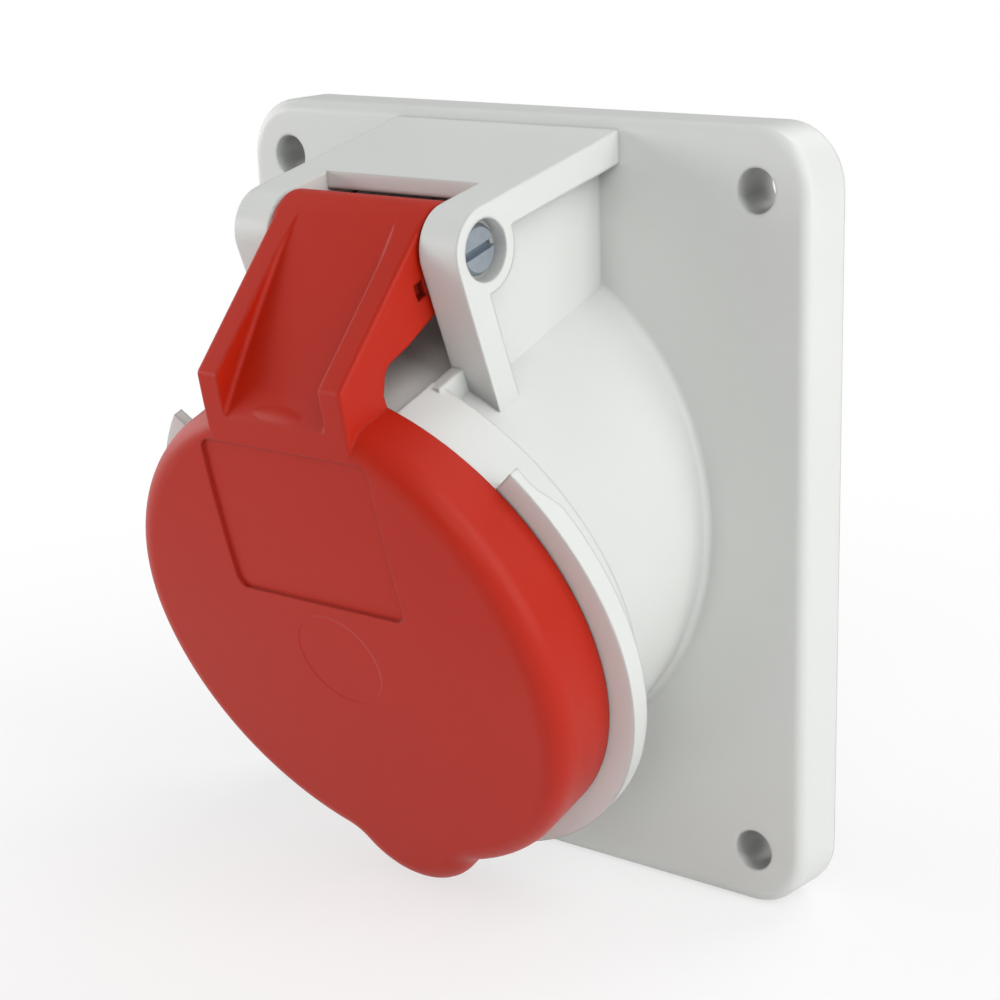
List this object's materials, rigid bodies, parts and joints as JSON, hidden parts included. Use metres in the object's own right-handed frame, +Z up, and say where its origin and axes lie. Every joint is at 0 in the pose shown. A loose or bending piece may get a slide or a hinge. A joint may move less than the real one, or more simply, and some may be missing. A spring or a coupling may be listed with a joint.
{
  "type": "industrial panel socket",
  "caption": "Sloping round industrial power socket on a rectangular flange, with sleeve contacts, guard ring and a sprung hinged lid.",
  "frame": {"origin": "centre of the four flange screw holes on the flange's back plane", "axes": "+Z up, the socket and its lid face -Y, +Y points into the panel"},
  "size_m": [0.092, 0.0849, 0.1],
  "materials": {
    "housing_grey": "light grey moulded thermoplastic, satin",
    "lid_red": "red moulded thermoplastic, satin",
    "seal_rubber": "black elastomer",
    "flange_seal": "black elastomer sheet",
    "pin_steel": "zinc-plated turned steel",
    "spring_steel": "drawn spring steel",
    "carrier_plastic": "dark moulded thermoplastic",
    "block_plastic": "grey moulded thermoplastic",
    "clamp_steel": "zinc-plated steel",
    "fixing_steel": "zinc-plated steel",
    "centre_steel": "zinc-plated steel",
    "contact_brass": "turned brass",
    "clip_steel": "rolled spring steel strip"
  },
  "bodies": {
    "socket": {"housing": "housing_grey", "flange_gasket": "flange_seal", "hinge_pin": "pin_steel", "lid_spring": "spring_steel", "contact_carrier": "carrier_plastic", "terminal_block": "block_plastic", "terminal_screws": "clamp_steel", "carrier_screws": "fixing_steel", "centre_screw": "centre_steel", "contact_l1": "contact_brass", "contact_clip_l1": "clip_steel", "contact_l2": "contact_brass", "contact_clip_l2": "clip_steel", "contact_l3": "contact_brass", "contact_clip_l3": "clip_steel", "contact_n": "contact_brass", "contact_clip_n": "clip_steel", "contact_earth": "contact_brass", "contact_clip_earth": "clip_steel"},
    "lid": {"lid": "lid_red", "lid_gasket": "seal_rubber"}
  },
  "joints": [
    {"name": "lid_hinge", "type": "hinge", "parent": "socket", "child": "lid", "pos_m": [0, -0.0335, 0.0377], "axis": [-1, 0, 0], "range_deg": [0, 130], "stiffness_Nm_per_rad": 0.05, "springref_deg": -45.84}
  ]
}
